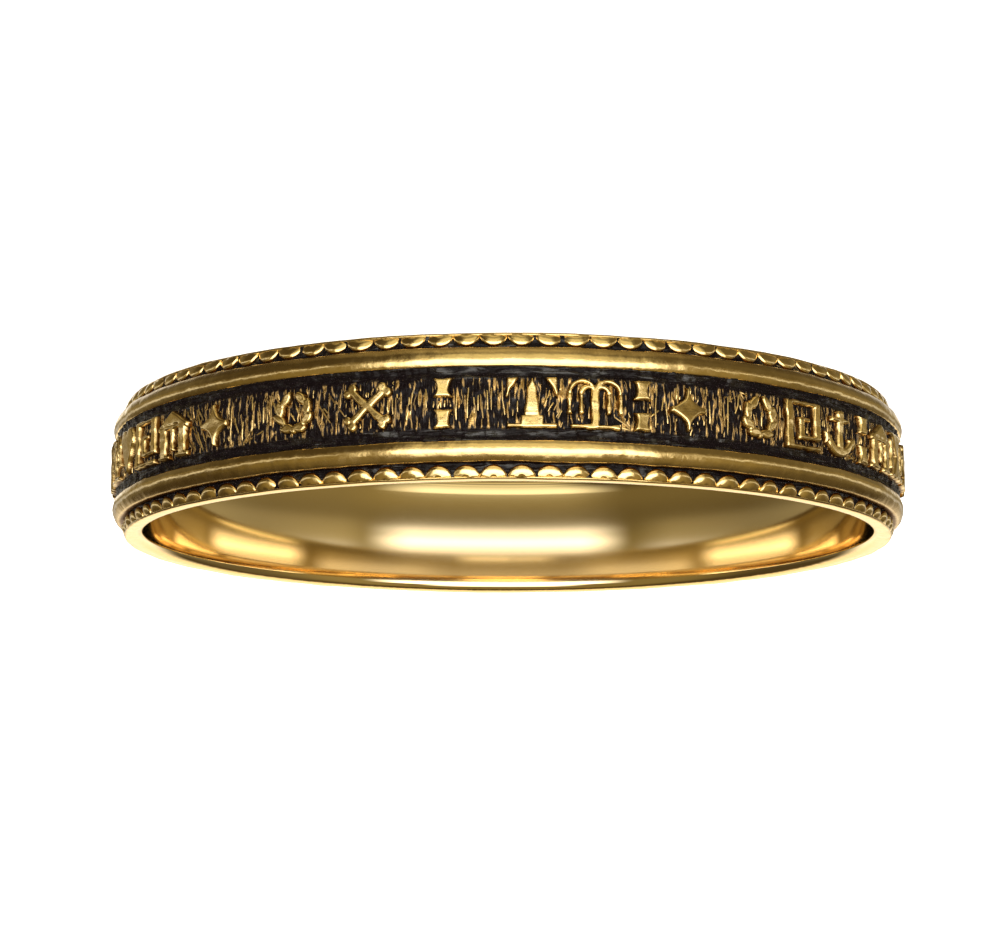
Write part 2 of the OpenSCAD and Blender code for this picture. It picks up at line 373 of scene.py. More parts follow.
def ornament_distance(angle, v, sizes):
    """Signed distance to the nearest ornament, and which one that is, on a grid of angles by heights."""
    half = sizes.motif_height / 2
    thick, thin = sizes.stroke_width / half, sizes.hair_width / half
    distance = np.full((len(angle), len(v)), 2 * half)
    nearest = np.zeros(distance.shape, int)
    reach = math.degrees(2.2 * half / CREST_RADIUS)
    for number, (name, place) in enumerate(PLACES):
        away = (angle - place + 180) % 360 - 180
        near = np.abs(away) < reach
        if not near.any():
            continue
        x = CREST_RADIUS * np.sin(np.radians(away[near])) / ORNAMENT_UNIT
        p = np.meshgrid(x, v / half, indexing="ij")
        found = ORNAMENTS[name](p, thick, thin) * half
        closer = found < distance[near]
        nearest[near] = np.where(closer, number, nearest[near])
        distance[near] = np.minimum(distance[near], found)
    return distance, nearest


def mesh_object(name, points, faces, material=None, smooth=True):
    mesh = bpy.data.meshes.new(name)
    mesh.from_pydata([tuple(p) for p in points], [], faces)
    mesh.polygons.foreach_set("use_smooth", [smooth] * len(mesh.polygons))
    mesh.update()
    made = bpy.data.objects.new(name, mesh)
    bpy.context.scene.collection.objects.link(made)
    if material:
        mesh.materials.append(material)
    return made


def loft(name, sections, material, closed):
    """A closed mesh through sections, an array of sections by points by 3, as a ring or with two flat ends."""
    count, size = sections.shape[:2]
    index = np.arange(count * size).reshape(count, size)
    first = index if closed else index[:-1]
    second = np.roll(index, -1, axis=0) if closed else index[1:]
    quads = np.stack([first, np.roll(first, -1, axis=1), np.roll(second, -1, axis=1), second], axis=-1)
    faces = quads.reshape(-1, 4).tolist()
    if not closed:
        faces += [index[0, ::-1].tolist(), index[-1].tolist()]
    return mesh_object(name, sections.reshape(-1, 3), faces, material)


def add(tree, kind, settings=None, links=None):
    """Adds a node: settings holds its properties and plain socket values, links what its sockets are fed by."""
    node = tree.nodes.new(kind)
    for key, value in (settings or {}).items():
        if isinstance(key, str) and hasattr(node, key):
            setattr(node, key, value)
        else:
            node.inputs[key].default_value = value
    for key, source in (links or {}).items():
        tree.links.new(source, node.inputs[key])
    return node


def new_material(name):
    material = bpy.data.materials.new(name)
    material.use_nodes = True
    tree = material.node_tree
    tree.nodes.clear()
    output = add(tree, "ShaderNodeOutputMaterial")
    shader = add(tree, "ShaderNodeBsdfPrincipled")
    tree.links.new(shader.outputs[0], output.inputs["Surface"])
    return material, tree, shader


def gold_material(finish):
    """Polished 22-carat gold with two centuries of wear: warm, mirror-like on its crests, with fine scratches
    and shallow knocks, and a brown tarnish in the recesses that a cloth does not reach; the same brown also stands
    for painted shade there, on the rims and on the rails' outer flanks. The bore, which the finger keeps rubbing, is
    the smoothest."""
    material, tree, shader = new_material("polished_gold")
    place = add(tree, "ShaderNodeTexCoord").outputs["Object"]
    # The share painted on the points mixes in the brown: tarnish, and painted shade in the recesses, on the rims and
    # on the rails' outer flanks
    tarnish_and_shade = add(tree, "ShaderNodeAttribute", {"attribute_name": "tarnish_and_shade"}).outputs["Fac"]
    rubbed = add(tree, "ShaderNodeAttribute", {"attribute_name": "rubbed"}).outputs["Fac"]
    coarse = add(tree, "ShaderNodeMath", {"operation": "SUBTRACT", 0: 1.0}, {1: rubbed})
    cloud = add(tree, "ShaderNodeTexNoise", {"Scale": 1 / (0.7 * MM), "Detail": 4.0}, {"Vector": place})
    spots = add(tree, "ShaderNodeTexNoise", {"Scale": 1 / (0.16 * MM), "Detail": 3.0}, {"Vector": place})
    uneven = add(tree, "ShaderNodeMath", {"operation": "MULTIPLY_ADD", 1: 0.7, 2: -0.35}, {0: cloud.outputs["Fac"]})
    film_and_shade = add(tree, "ShaderNodeMath", {"operation": "ADD", "use_clamp": True}, {0: tarnish_and_shade, 1: uneven.outputs[0]})
    covered = add(
        tree, "ShaderNodeMath", {"operation": "MULTIPLY", "use_clamp": True}, {0: film_and_shade.outputs[0], 1: tarnish_and_shade})
    clean = add(tree, "ShaderNodeMix", {"data_type": "RGBA"}, {"Factor": rubbed})
    clean.inputs["A"].default_value = (*finish.gold, 1)
    clean.inputs["B"].default_value = (*finish.bore_gold, 1)
    colour = add(
        tree, "ShaderNodeMix", {"data_type": "RGBA"}, {"Factor": covered.outputs[0], "A": clean.outputs["Result"]})
    colour.inputs["B"].default_value = (*finish.tarnish_and_shade, 1)
    rough = add(
        tree, "ShaderNodeMapRange",
        {"From Min": 0.3, "From Max": 0.7, "To Min": 0.1, "To Max": 0.22}, {"Value": spots.outputs["Fac"]})
    rougher = add(
        tree, "ShaderNodeMath", {"operation": "MULTIPLY_ADD", 1: 0.25}, {0: covered.outputs[0], 2: rough.outputs[0]})
    polish = add(
        tree, "ShaderNodeMix", {"data_type": "FLOAT", "B": 0.065}, {"Factor": rubbed, "A": rougher.outputs[0]})
    # Polishing scratches run mostly round the hoop, so the pattern is drawn out along that way. The real ones are
    # too fine to show at this size, and they are drawn as coarse as it needs.
    stretched = add(tree, "ShaderNodeMapping", {"Scale": (1 / 0.9, 1 / 0.9, 1 / 0.08)}, {"Vector": place})
    scratch = add(tree, "ShaderNodeTexNoise", {"Scale": 1 / MM, "Detail": 3.0}, {"Vector": stretched.outputs[0]})
    peel = add(tree, "ShaderNodeTexNoise", {"Scale": 1 / (0.24 * MM), "Detail": 3.0}, {"Vector": place})
    lines = add(tree, "ShaderNodeMath", {"operation": "MULTIPLY", 1: 0.35}, {0: coarse.outputs[0]})
    skin = add(tree, "ShaderNodeMath", {"operation": "MULTIPLY", 1: 0.7}, {0: coarse.outputs[0]})
    fine = add(
        tree, "ShaderNodeBump", {"Distance": 0.005 * MM},
        {"Strength": lines.outputs[0], "Height": scratch.outputs["Fac"]})
    soft = add(
        tree, "ShaderNodeBump", {"Distance": 0.014 * MM},
        {"Strength": skin.outputs[0], "Height": peel.outputs["Fac"], "Normal": fine.outputs[0]})
    shader.inputs["Metallic"].default_value = 1
    tree.links.new(colour.outputs["Result"], shader.inputs["Base Color"])
    tree.links.new(polish.outputs["Result"], shader.inputs["Roughness"])
    tree.links.new(soft.outputs[0], shader.inputs["Normal"])
    return material


def enamel_material(finish):
    """Fired black enamel in cut beds: brown-black glass, drawn out in glossy streaks beside the rails and broken
    by the graver's upright cuts between the ornaments, where worn ridges of the gold ground come through."""
    material, tree, shader = new_material("fired_enamel")
    place = add(tree, "ShaderNodeTexCoord").outputs["Object"]
    cut = add(tree, "ShaderNodeAttribute", {"attribute_name": "cut"}).outputs["Fac"]
    drawn = add(tree, "ShaderNodeMapping", {"Scale": (1 / 0.6, 1 / 0.6, 1 / 0.11)}, {"Vector": place})
    streaks = add(
        tree, "ShaderNodeTexNoise", {"Scale": 1 / MM, "Detail": 1.5, "Distortion": 0.3}, {"Vector": drawn.outputs[0]})
    tall = add(tree, "ShaderNodeMapping", {"Scale": (1 / 0.075, 1 / 0.075, 1 / 0.5)}, {"Vector": place})
    uprights = add(
        tree, "ShaderNodeTexNoise", {"Scale": 1 / MM, "Detail": 1.5, "Distortion": 0.4}, {"Vector": tall.outputs[0]})
    relief = add(tree, "ShaderNodeMix", {"data_type": "FLOAT"}, {
        "Factor": cut, "A": streaks.outputs["Fac"], "B": uprights.outputs["Fac"]})
    pits = add(tree, "ShaderNodeTexNoise", {"Scale": 1 / (0.06 * MM), "Detail": 2.0}, {"Vector": place})
    # Only the tops of the streaks are still glossy, and the rest is pitted and dull
    gloss = add(
        tree, "ShaderNodeMapRange",
        {"From Min": 0.5, "From Max": 0.62, "To Min": 0.09, "To Max": 0.5}, {"Value": relief.outputs["Result"]})
    ridges = add(
        tree, "ShaderNodeMapRange", {"From Min": 0.55, "From Max": 0.64}, {"Value": uprights.outputs["Fac"]})
    bared = add(tree, "ShaderNodeMath", {"operation": "MULTIPLY"}, {0: ridges.outputs[0], 1: cut})
    colour = add(tree, "ShaderNodeMix", {"data_type": "RGBA"}, {"Factor": bared.outputs[0]})
    colour.inputs["A"].default_value = (*finish.enamel, 1)
    colour.inputs["B"].default_value = (*finish.ground, 1)
    soft = add(
        tree, "ShaderNodeBump", {"Strength": 1.0, "Distance": 0.07 * MM}, {"Height": relief.outputs["Result"]})
    fine = add(
        tree, "ShaderNodeBump", {"Strength": 0.6, "Distance": 0.012 * MM},
        {"Height": pits.outputs["Fac"], "Normal": soft.outputs[0]})
    rough = add(
        tree, "ShaderNodeMapRange",
        {"From Min": 0.3, "From Max": 0.7, "To Min": 0.12, "To Max": 0.34}, {"Value": pits.outputs["Fac"]})
    shader.inputs["IOR"].default_value = 1.54
    tree.links.new(colour.outputs["Result"], shader.inputs["Base Color"])
    tree.links.new(bared.outputs[0], shader.inputs["Metallic"])
    tree.links.new(gloss.outputs[0], shader.inputs["Specular IOR Level"])
    tree.links.new(rough.outputs[0], shader.inputs["Roughness"])
    tree.links.new(fine.outputs[0], shader.inputs["Normal"])
    return material


def material(name):
    """A material of the ring, made the first time that it is asked for."""
    finish = bpy.context.scene.ring_finish
    makers = {"polished_gold": gold_material, "fired_enamel": enamel_material}
    return bpy.data.materials.get(name) or makers[name](finish)


def paint(made, name, amount):
    """Keeps a share from 0 to 1 on each point; amount gives it from the points' radius and height."""
    points = np.empty(len(made.data.vertices) * 3)
    made.data.vertices.foreach_get("co", points)
    points = points.reshape(-1, 3)
    radius = np.hypot(points[:, 0], points[:, 1])
    share = made.data.attributes.new(name, "FLOAT", "POINT")
    share.data.foreach_set("value", np.clip(amount(radius, HALF_WIDTH - points[:, 2]), 0, 1).astype(np.float32))


def keep(made, slot, *replaced):
    """Parents a finished piece to the root body, and hides the CAD parts that it replaces."""
    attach(made, "root")
    if replaced:
        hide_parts(*replaced)


def node_tree(name, inputs):
    """A Geometry Nodes tree with named inputs, each as its name, socket type and default."""
    tree = bpy.data.node_groups.new(name, "GeometryNodeTree")
    tree.interface.new_socket("Geometry", in_out="INPUT", socket_type="NodeSocketGeometry")
    for label, kind, default in inputs:
        socket = tree.interface.new_socket(label, in_out="INPUT", socket_type=kind)
        if default is not None:
            socket.default_value = default
    tree.interface.new_socket("Geometry", in_out="OUTPUT", socket_type="NodeSocketGeometry")
    return tree, add(tree, "NodeGroupInput").outputs


def apply_tree(made, tree, values):
    """Runs a tree on an object with the given inputs, and keeps the result as its plain mesh."""
    modifier = made.modifiers.new(tree.name, "NODES")
    modifier.node_group = tree
    for socket in tree.interface.items_tree:
        if socket.in_out == "INPUT" and socket.name in values:
            modifier[socket.identifier] = values[socket.name]
    graph = bpy.context.evaluated_depsgraph_get()
    result = bpy.data.meshes.new_from_object(made.evaluated_get(graph), depsgraph=graph)
    made.modifiers.remove(modifier)
    made.data = result
    result.name = made.name


def end_tree(tree, given, geometry):
    """The end of every tree: real geometry in the given material."""
    real = add(tree, "GeometryNodeRealizeInstances", None, {"Geometry": geometry})
    dressed = add(tree, "GeometryNodeSetMaterial", None, {
        "Geometry": real.outputs[0], "Material": given["Material"]})
    add(tree, "NodeGroupOutput", None, {"Geometry": dressed.outputs[0]})


def arc(centre, radius, start, end, steps):
    """Points of an arc in a section, angles in degrees."""
    turns = np.radians(np.linspace(start, end, steps + 1))
    return [(centre[0] + radius * math.cos(t), centre[1] + radius * math.sin(t)) for t in turns]


def hoop_section(sizes):
    """The hoop's outline for the upper half in the picture, from the middle of the bed to that of the bore, and
    the radius where the lower of a rail's two sides meets its round face."""
    r_bed, r_floor = bed_radius(sizes), floor_radius(sizes)
    r_rim = r_floor + sizes.edge_rise
    face_centre = (
        CREST_RADIUS - sizes.rail_drop - sizes.rail_face,
        (sizes.rail_inner + sizes.rail_outer) / 2 - sizes.rail_lean)
    first, last = [
        math.degrees(math.asin((v - face_centre[1]) / sizes.rail_face)) for v in (sizes.rail_inner, sizes.rail_outer)]
    face = arc(face_centre, sizes.rail_face, first, last, 16)
    # The rim is worn round from the slope of the filed grains to its flat face
    rim_foot = HALF_WIDTH - sizes.rim_line
    rim_round = 0.06 * MM
    slope = sizes.file_slope
    round_v = HALF_WIDTH - rim_round
    round_r = r_rim + (rim_foot - round_v) * math.tan(slope) - rim_round / math.cos(slope)
    soft = sizes.inner_soft
    bed = [(r_bed, v) for v in np.linspace(0, sizes.rail_inner, 3)]
    inner_side = [(r, sizes.rail_inner) for r in np.linspace(r_bed, face[0][0], 4)[1:-1]]
    outer_side = [(r, sizes.rail_outer) for r in np.linspace(face[-1][0], r_floor, 4)[1:]]
    rim_step = 0.012 * MM                 # how far the steep step up to the rim line reaches
    floor = [(r_floor, v) for v in np.linspace(sizes.rail_outer, rim_foot - rim_step, 3)[1:]]
    rim = [(r_rim, rim_foot)] + arc((round_r, round_v), rim_round, math.degrees(slope), 90, 4)
    inner_mid = sizes.finger_radius + sizes.bore_wear
    end = [(r, HALF_WIDTH) for r in np.linspace(round_r, inner_mid + soft, 3)[1:-1]]
    inner = arc((inner_mid + soft, HALF_WIDTH - soft), soft, 90, 180, 6)
    bore = [
        (sizes.finger_radius + sizes.bore_wear * (v / (HALF_WIDTH - soft)) ** 2, v)
        for v in np.linspace(HALF_WIDTH - soft, 0, 7)[1:]]
    outline = bed + inner_side + face + outer_side + floor + rim + end + inner + bore
    return outline, min(face[0][0], face[-1][0])


class RING_OT_hoop(bpy.types.Operator):
    """Sweep the hoop's section with its rails and rims round the finger hole"""
    bl_idname = "ring.hoop"
    bl_label = "Hoop"

    def execute(self, context):
        sizes, finish = context.scene.ring_sizes, context.scene.ring_finish
        upper, shoulder = hoop_section(sizes)
        lower = [(r, -v) for r, v in reversed(upper[1:-1])]
        outline = [(r - CREST_RADIUS, v, 0) for r, v in upper + lower]
        edges = [(i, (i + 1) % len(outline)) for i in range(len(outline))]
        mesh = bpy.data.meshes.new("hoop_gold")
        mesh.from_pydata(outline, edges, [])
        made = bpy.data.objects.new("hoop_gold", mesh)
        context.scene.collection.objects.link(made)
        tree, given = node_tree("sweep_hoop", [
            ("Radius", "NodeSocketFloat", CREST_RADIUS), ("Steps", "NodeSocketInt", 1060),
            ("Lift", "NodeSocketVector", None), ("Wear", "NodeSocketFloat", finish.wear_depth),
            ("Bore radius", "NodeSocketFloat", sizes.finger_radius), ("Material", "NodeSocketMaterial", None)])
        path = add(tree, "GeometryNodeCurvePrimitiveCircle", None, {
            "Resolution": given["Steps"], "Radius": given["Radius"]})
        section = add(tree, "GeometryNodeMeshToCurve", None, {"Mesh": given["Geometry"]})
        swept = add(tree, "GeometryNodeCurveToMesh", None, {
            "Curve": path.outputs["Curve"], "Profile Curve": section.outputs[0]})
        lifted = add(tree, "GeometryNodeTransform", None, {
            "Geometry": swept.outputs[0], "Translation": given["Lift"]})
        knocks = add(tree, "ShaderNodeTexNoise", {"Scale": 1 / (1.1 * MM), "Detail": 3.0})
        centred = add(tree, "ShaderNodeMath", {"operation": "SUBTRACT", 1: 0.5}, {0: knocks.outputs["Fac"]})
        full = add(tree, "ShaderNodeMath", {"operation": "MULTIPLY"}, {0: centred.outputs[0], 1: given["Wear"]})
        # The bore, rubbed by the finger, stays smooth
        where = add(tree, "GeometryNodeInputPosition")
        flat = add(tree, "ShaderNodeVectorMath", {"operation": "MULTIPLY", 1: (1, 1, 0)}, {0: where.outputs[0]})
        reach = add(tree, "ShaderNodeVectorMath", {"operation": "LENGTH"}, {0: flat.outputs[0]})
        outside = add(tree, "ShaderNodeMath", {"operation": "SUBTRACT"}, {
            0: reach.outputs["Value"], 1: given["Bore radius"]})
        share = add(tree, "ShaderNodeMapRange", {"From Min": 0.15 * MM, "From Max": 0.55 * MM}, {
            "Value": outside.outputs[0]})
        depth = add(tree, "ShaderNodeMath", {"operation": "MULTIPLY"}, {0: full.outputs[0], 1: share.outputs[0]})
        normal = add(tree, "GeometryNodeInputNormal")
        offset = add(tree, "ShaderNodeVectorMath", {"operation": "SCALE"}, {
            0: normal.outputs[0], "Scale": depth.outputs[0]})
        worn = add(tree, "GeometryNodeSetPosition", None, {
            "Geometry": lifted.outputs[0], "Offset": offset.outputs[0]})
        smooth = add(tree, "GeometryNodeSetShadeSmooth", None, {"Geometry": worn.outputs[0]})
        end_tree(tree, given, smooth.outputs[0])
        apply_tree(made, tree, {
            "Radius": CREST_RADIUS, "Lift": (0, 0, HALF_WIDTH), "Wear": finish.wear_depth,
            "Bore radius": sizes.finger_radius, "Material": material("polished_gold")})
        # A brown layer of tarnish and painted shade lies in the recesses, and thinner on the rims and on the outer
        # flank of each rail
        recess = shoulder - 0.01 * MM
        flank = (sizes.rail_inner + sizes.rail_outer) / 2 + 0.02 * MM
        rim = HALF_WIDTH - sizes.rim_line * 1.5
        rim_face = HALF_WIDTH - 0.004 * MM
        flank_tarnish_shade, rim_tarnish_shade = (0.3, 0.6), 0.4
        paint(made, "tarnish_and_shade", lambda r, v: np.where(
            (r > floor_radius(sizes) - 0.03 * MM) & (np.abs(v) < rim),
            np.maximum((recess - r) / (0.05 * MM), np.clip((np.abs(v) - flank) / (0.12 * MM), *flank_tarnish_shade)),
            np.where((r > floor_radius(sizes)) & (np.abs(v) < rim_face), rim_tarnish_shade, 0.0)))
        paint(made, "rubbed", lambda r, v: (sizes.finger_radius + 0.1 * MM - r) / (0.04 * MM))
        keep(made, "gold", "hoop")
        return {"FINISHED"}


def grain_mesh(sizes):
    """One filed grain in the section's frame: x is its radius less that of the floor, z its height. What is left
    of the ball is an arch that springs from the rim, filed to the rim's slope and rubbed round at its crown."""
    base = HALF_WIDTH - 0.035 * MM
    rise = base - sizes.rail_outer - sizes.grain_gap
    rim_foot = HALF_WIDTH - sizes.rim_line
    # Each ring is its share of the arch, and how far its edge is rubbed down from the filed slope
    rings = [(0.32, 0.006), (0.58, 0.035), (0.8, 0.085), (0.94, 0.13), (1.0, 0.19)]
    sides = 10
    points = [(sizes.edge_rise + (rim_foot - base) * math.tan(sizes.file_slope), 0, base)]
    for share, rubbed in rings:
        for i in range(sides + 1):
            turn = math.pi * i / sides
            z = base - share * rise * math.sin(turn)
            filed = sizes.edge_rise + (rim_foot - z) * math.tan(sizes.file_slope)
            worn = rubbed * MM * (0.25 + 0.75 * math.sin(turn))
            points.append((filed - worn, share * sizes.grain_radius * math.cos(turn), z))
    row = sides + 1
    under = len(points)
    points += [(-0.1 * MM, y, z) for _, y, z in points[-row:]]
    faces = []
    for i in range(sides):
        faces.append((0, 1 + i, 2 + i))
        for k in range(len(rings)):
            low = 1 + k * row + i
            faces.append((low + 1, low, low + row, low + row + 1))
    faces.append(tuple(range(under, under + row)))
    left = [1 + k * row for k in range(len(rings) + 1)]
    right = [low + sides for low in left]
    faces.append(tuple([0] + right + left[::-1]))
    return points, faces


class RING_OT_grains(bpy.types.Operator):
    """Set the grains of both milled edges round the hoop"""
    bl_idname = "ring.grains"
    bl_label = "Milled edges"

    def execute(self, context):
        sizes = context.scene.ring_sizes
        points, faces = grain_mesh(sizes)
        made = mesh_object("milled_grains", points, faces, material("polished_gold"))
        step = math.tau / sizes.grain_count
        tree, given = node_tree("set_grains", [
            ("Count", "NodeSocketInt", sizes.grain_count), ("Radius", "NodeSocketFloat", floor_radius(sizes)),
            ("Lift", "NodeSocketVector", None), ("First turn", "NodeSocketVector", None),
            ("Seed", "NodeSocketInt", 7), ("Material", "NodeSocketMaterial", None)])
        circle = add(tree, "GeometryNodeMeshCircle", None, {
            "Vertices": given["Count"], "Radius": given["Radius"]})
        placed = add(tree, "GeometryNodeTransform", None, {
            "Geometry": circle.outputs[0], "Rotation": given["First turn"]})
        where = add(tree, "GeometryNodeInputPosition")
        facing = add(tree, "FunctionNodeAlignRotationToVector", {"axis": "X"}, {"Vector": where.outputs[0]})
        wobble = add(tree, "FunctionNodeRandomValue", {
            "data_type": "FLOAT_VECTOR", 0: (-0.01, 0.0, -0.12), 1: (0.01, 0.0, 0.12)}, {"Seed": given["Seed"]})
        turn = add(tree, "FunctionNodeEulerToRotation", None, {0: wobble.outputs[0]})
        pose = add(tree, "FunctionNodeRotateRotation", {"rotation_space": "LOCAL"}, {
            "Rotation": facing.outputs[0], "Rotate By": turn.outputs[0]})
        size = add(tree, "FunctionNodeRandomValue", {
            "data_type": "FLOAT_VECTOR", 0: (0.8, 0.94, 1.0), 1: (1.05, 1.04, 1.0)}, {"Seed": given["Seed"]})
        edge = add(tree, "GeometryNodeInstanceOnPoints", None, {
            "Points": placed.outputs[0], "Instance": given["Geometry"],
            "Rotation": pose.outputs[0], "Scale": size.outputs[0]})
        other = add(tree, "GeometryNodeTransform", {"Rotation": (math.pi, 0, 0)}, {
            "Geometry": edge.outputs[0]})
        both = add(tree, "GeometryNodeJoinGeometry")
        tree.links.new(edge.outputs[0], both.inputs[0])
        tree.links.new(other.outputs[0], both.inputs[0])
        lifted = add(tree, "GeometryNodeTransform", None, {
            "Geometry": both.outputs[0], "Translation": given["Lift"]})
        end_tree(tree, given, lifted.outputs[0])
        apply_tree(made, tree, {
            "Count": sizes.grain_count, "Radius": floor_radius(sizes), "Lift": (0, 0, HALF_WIDTH),
            "First turn": (0, 0, step / 2), "Seed": 7, "Material": material("polished_gold")})
        # Tarnish and painted shade darken each grain towards the milled floor that it stands on
        foot = floor_radius(sizes) + 0.05 * MM
        paint(made, "tarnish_and_shade", lambda r, v: (foot - r) / (0.06 * MM))
        keep(made, "gold")
        return {"FINISHED"}


class RING_OT_ornaments(bpy.types.Operator):
    """Raise the gold ornaments of the band, as two half rounds of cut relief"""
    bl_idname = "ring.ornaments"
    bl_label = "Ornaments"

    def execute(self, context):
        sizes = context.scene.ring_sizes
        half = sizes.motif_height / 2 + 0.09 * MM
        split = 89.8                          # where the two halves meet, in degrees to either side
        around_steps, across_steps = 1640, 53
        v = np.linspace(-half, half, across_steps)
        for name, start in (("ornaments_front", -split), ("ornaments_back", split)):
            end = split if name == "ornaments_front" else 360 - split
            angle = np.linspace(start, end, around_steps)
            distance, nearest = ornament_distance(angle, v, sizes)
            # The graver leaves strokes a little uneven, and every top at its own slight tilt
            grid = angle[:, None], v[None, :]
            distance = distance + 0.007 * MM * waves(*grid, 0.35 * MM, 11)
            draw = np.random.default_rng(5)
            tilt = draw.uniform(-0.025, 0.025, (len(PLACES), 2))
            places = np.array([place for _, place in PLACES])
            across = np.radians((grid[0] - places[nearest] + 180) % 360 - 180) * CREST_RADIUS
            lean = across * tilt[nearest, 0] + grid[1] * tilt[nearest, 1]
            lean -= 0.012 * MM + 0.003 * MM * waves(*grid, 0.5 * MM, 13)
            # A flat top, a soft shoulder and a steep bevelled side
            soft, slope, inset = 0.005 * MM, 4.2, 0.01 * MM
            side = slope * soft * np.logaddexp(0, (distance + inset) / soft)
            drop = np.minimum(side - np.minimum(lean, 0), sizes.bed_depth - 0.03 * MM)
            top = around(*grid, CREST_RADIUS - drop)
            under = bed_radius(sizes) - 0.02 * MM
            feet = [around(angle, np.full(len(angle), s * half), under)[:, None] for s in (1, -1)]
            sections = np.concatenate([top] + feet, axis=1)
            made = loft(name, sections[::-1], material("polished_gold"), closed=False)
            surface = CREST_RADIUS - sizes.enamel_drop
            # Tarnish and painted shade darken the ornaments' sides down towards the enamel
            paint(made, "tarnish_and_shade", lambda r, v: (surface + 0.104 * MM - r) / (0.035 * MM))
            keep(made, "gold")
        return {"FINISHED"}


def graver_lines(sizes):
    """The ridges that the graver left between its cuts: clusters of upright, leaning and fanned lines."""
    draw = np.random.default_rng(21)
    half = sizes.motif_height / 2
    turn = math.degrees(MM / CREST_RADIUS)    # degrees to a millimetre round the band
    lines = []
    angle = 0.0
    while angle < 360:
        kind = draw.choice(["upright", "upright", "upright", "leaning", "fan"])
        width = draw.uniform(0.4, 0.9)
        if kind == "fan":
            side = draw.choice([-1, 1])
            foot = angle + width / 2 * turn, side * half
            for heading in np.arange(draw.uniform(12, 25), 168, draw.uniform(15, 24)):
                reach = draw.uniform(0.5, 1.0) * MM
                lines.append((foot, (
                    foot[0] + reach / MM * math.cos(math.radians(heading)) * turn,
                    foot[1] - side * reach * math.sin(math.radians(heading)))))
        else:
            lean = draw.uniform(-0.03, 0.03) if kind == "upright" else draw.choice([-1, 1]) * draw.uniform(0.15, 0.35)
            at = angle
            while at < angle + width * turn:
                low, high = -half + draw.uniform(0, 0.3) ** 2 * 6 * half, half - draw.uniform(0, 0.3) ** 2 * 6 * half
                sway = lean + draw.uniform(-0.03, 0.03)
                lines.append(((at - sway * turn, low), (at + sway * turn, high)))
                at += draw.uniform(0.07, 0.16) * turn
        angle += width * turn
    return [line for line in lines if max(abs(line[0][1]), abs(line[1][1])) < half * 1.02]


def clipped(lines, sizes, clearance, shortest):
    """The stretches of lines that stay clear of the ornaments, each as its angles and heights."""
    steps = 40
    stretches = []
    for (a0, v0), (a1, v1) in lines:
        along = np.linspace(0, 1, steps)
        angle, v = a0 + (a1 - a0) * along, v0 + (v1 - v0) * along
        free = np.diagonal(ornament_distance(angle, v, sizes)[0]) > clearance
        edges = np.flatnonzero(np.diff(np.concatenate([[0], free.astype(int), [0]])))
        for first, last in zip(edges[::2], edges[1::2]):
            piece = slice(first, last)
            length = math.hypot(np.radians(angle[last - 1] - angle[first]) * CREST_RADIUS, v[last - 1] - v[first])
            if length > shortest:
                stretches.append((angle[piece], v[piece]))
    return stretches


class RING_OT_ridges(bpy.types.Operator):
    """Cut the fine hatching that fills the band between the ornaments"""
    bl_idname = "ring.ridges"
    bl_label = "Hatching"

    def execute(self, context):
        sizes = context.scene.ring_sizes
        draw = np.random.default_rng(22)
        turn = math.degrees(MM / CREST_RADIUS)
        points, edges, widths, films = [], [], [], []
        for angle, v in clipped(graver_lines(sizes), sizes, 0.03 * MM, 0.1 * MM):
            count = 5
            at = np.linspace(0, 1, count)
            inside = np.linspace(0, 1, len(angle))
            height = CREST_RADIUS - sizes.enamel_drop + draw.uniform(-0.022, 0.004) * MM
            dips = draw.uniform(-0.02, 0.004, count) * MM - 0.03 * MM * (2 * at - 1) ** 4
            wander = draw.uniform(-0.014, 0.014, count) * turn
            line = around(np.interp(at, inside, angle) + wander, np.interp(at, inside, v), height + dips)
            edges += [(len(points) + i, len(points) + i + 1) for i in range(count - 1)]
            points += [tuple(p) for p in line]
            widths += list(draw.uniform(0.8, 2.3) * draw.uniform(0.6, 1.2, count))
            films += [draw.uniform(0.25, 0.85)] * count
        mesh = bpy.data.meshes.new("hatching")
        mesh.from_pydata(points, edges, [])
        for name, values in (("radius", widths), ("tarnish_and_shade", films)):
            mesh.attributes.new(name, "FLOAT", "POINT").data.foreach_set("value", values)
        made = bpy.data.objects.new("hatching", mesh)
        context.scene.collection.objects.link(made)
        ridge_radius = 0.024 * MM
        tree, given = node_tree("sweep_ridges", [
            ("Ridge radius", "NodeSocketFloat", ridge_radius), ("Material", "NodeSocketMaterial", None)])
        path = add(tree, "GeometryNodeMeshToCurve", None, {"Mesh": given["Geometry"]})
        wire = add(tree, "GeometryNodeCurvePrimitiveCircle", {"Resolution": 6}, {"Radius": given["Ridge radius"]})
        swept = add(tree, "GeometryNodeCurveToMesh", {"Fill Caps": True}, {
            "Curve": path.outputs[0], "Profile Curve": wire.outputs["Curve"]})
        smooth = add(tree, "GeometryNodeSetShadeSmooth", None, {"Geometry": swept.outputs[0]})
        end_tree(tree, given, smooth.outputs[0])
        apply_tree(made, tree, {"Ridge radius": ridge_radius, "Material": material("polished_gold")})
        keep(made, "gold")
        return {"FINISHED"}


def enamel_strip(name, heights, surface, floor, steps):
    """A strip of enamel all round: heights across it, its surface radius as a function, and its flat floor."""
    angle = np.linspace(0, 360, steps, endpoint=False)
    top = around(angle[:, None], heights[None, :], surface(angle[:, None], heights[None, :]))
    feet = [around(angle, np.full(steps, heights[i]), floor)[:, None] for i in (-1, 0)]
    return loft(name, np.concatenate([top] + feet, axis=1)[::-1], material("fired_enamel"), closed=True)


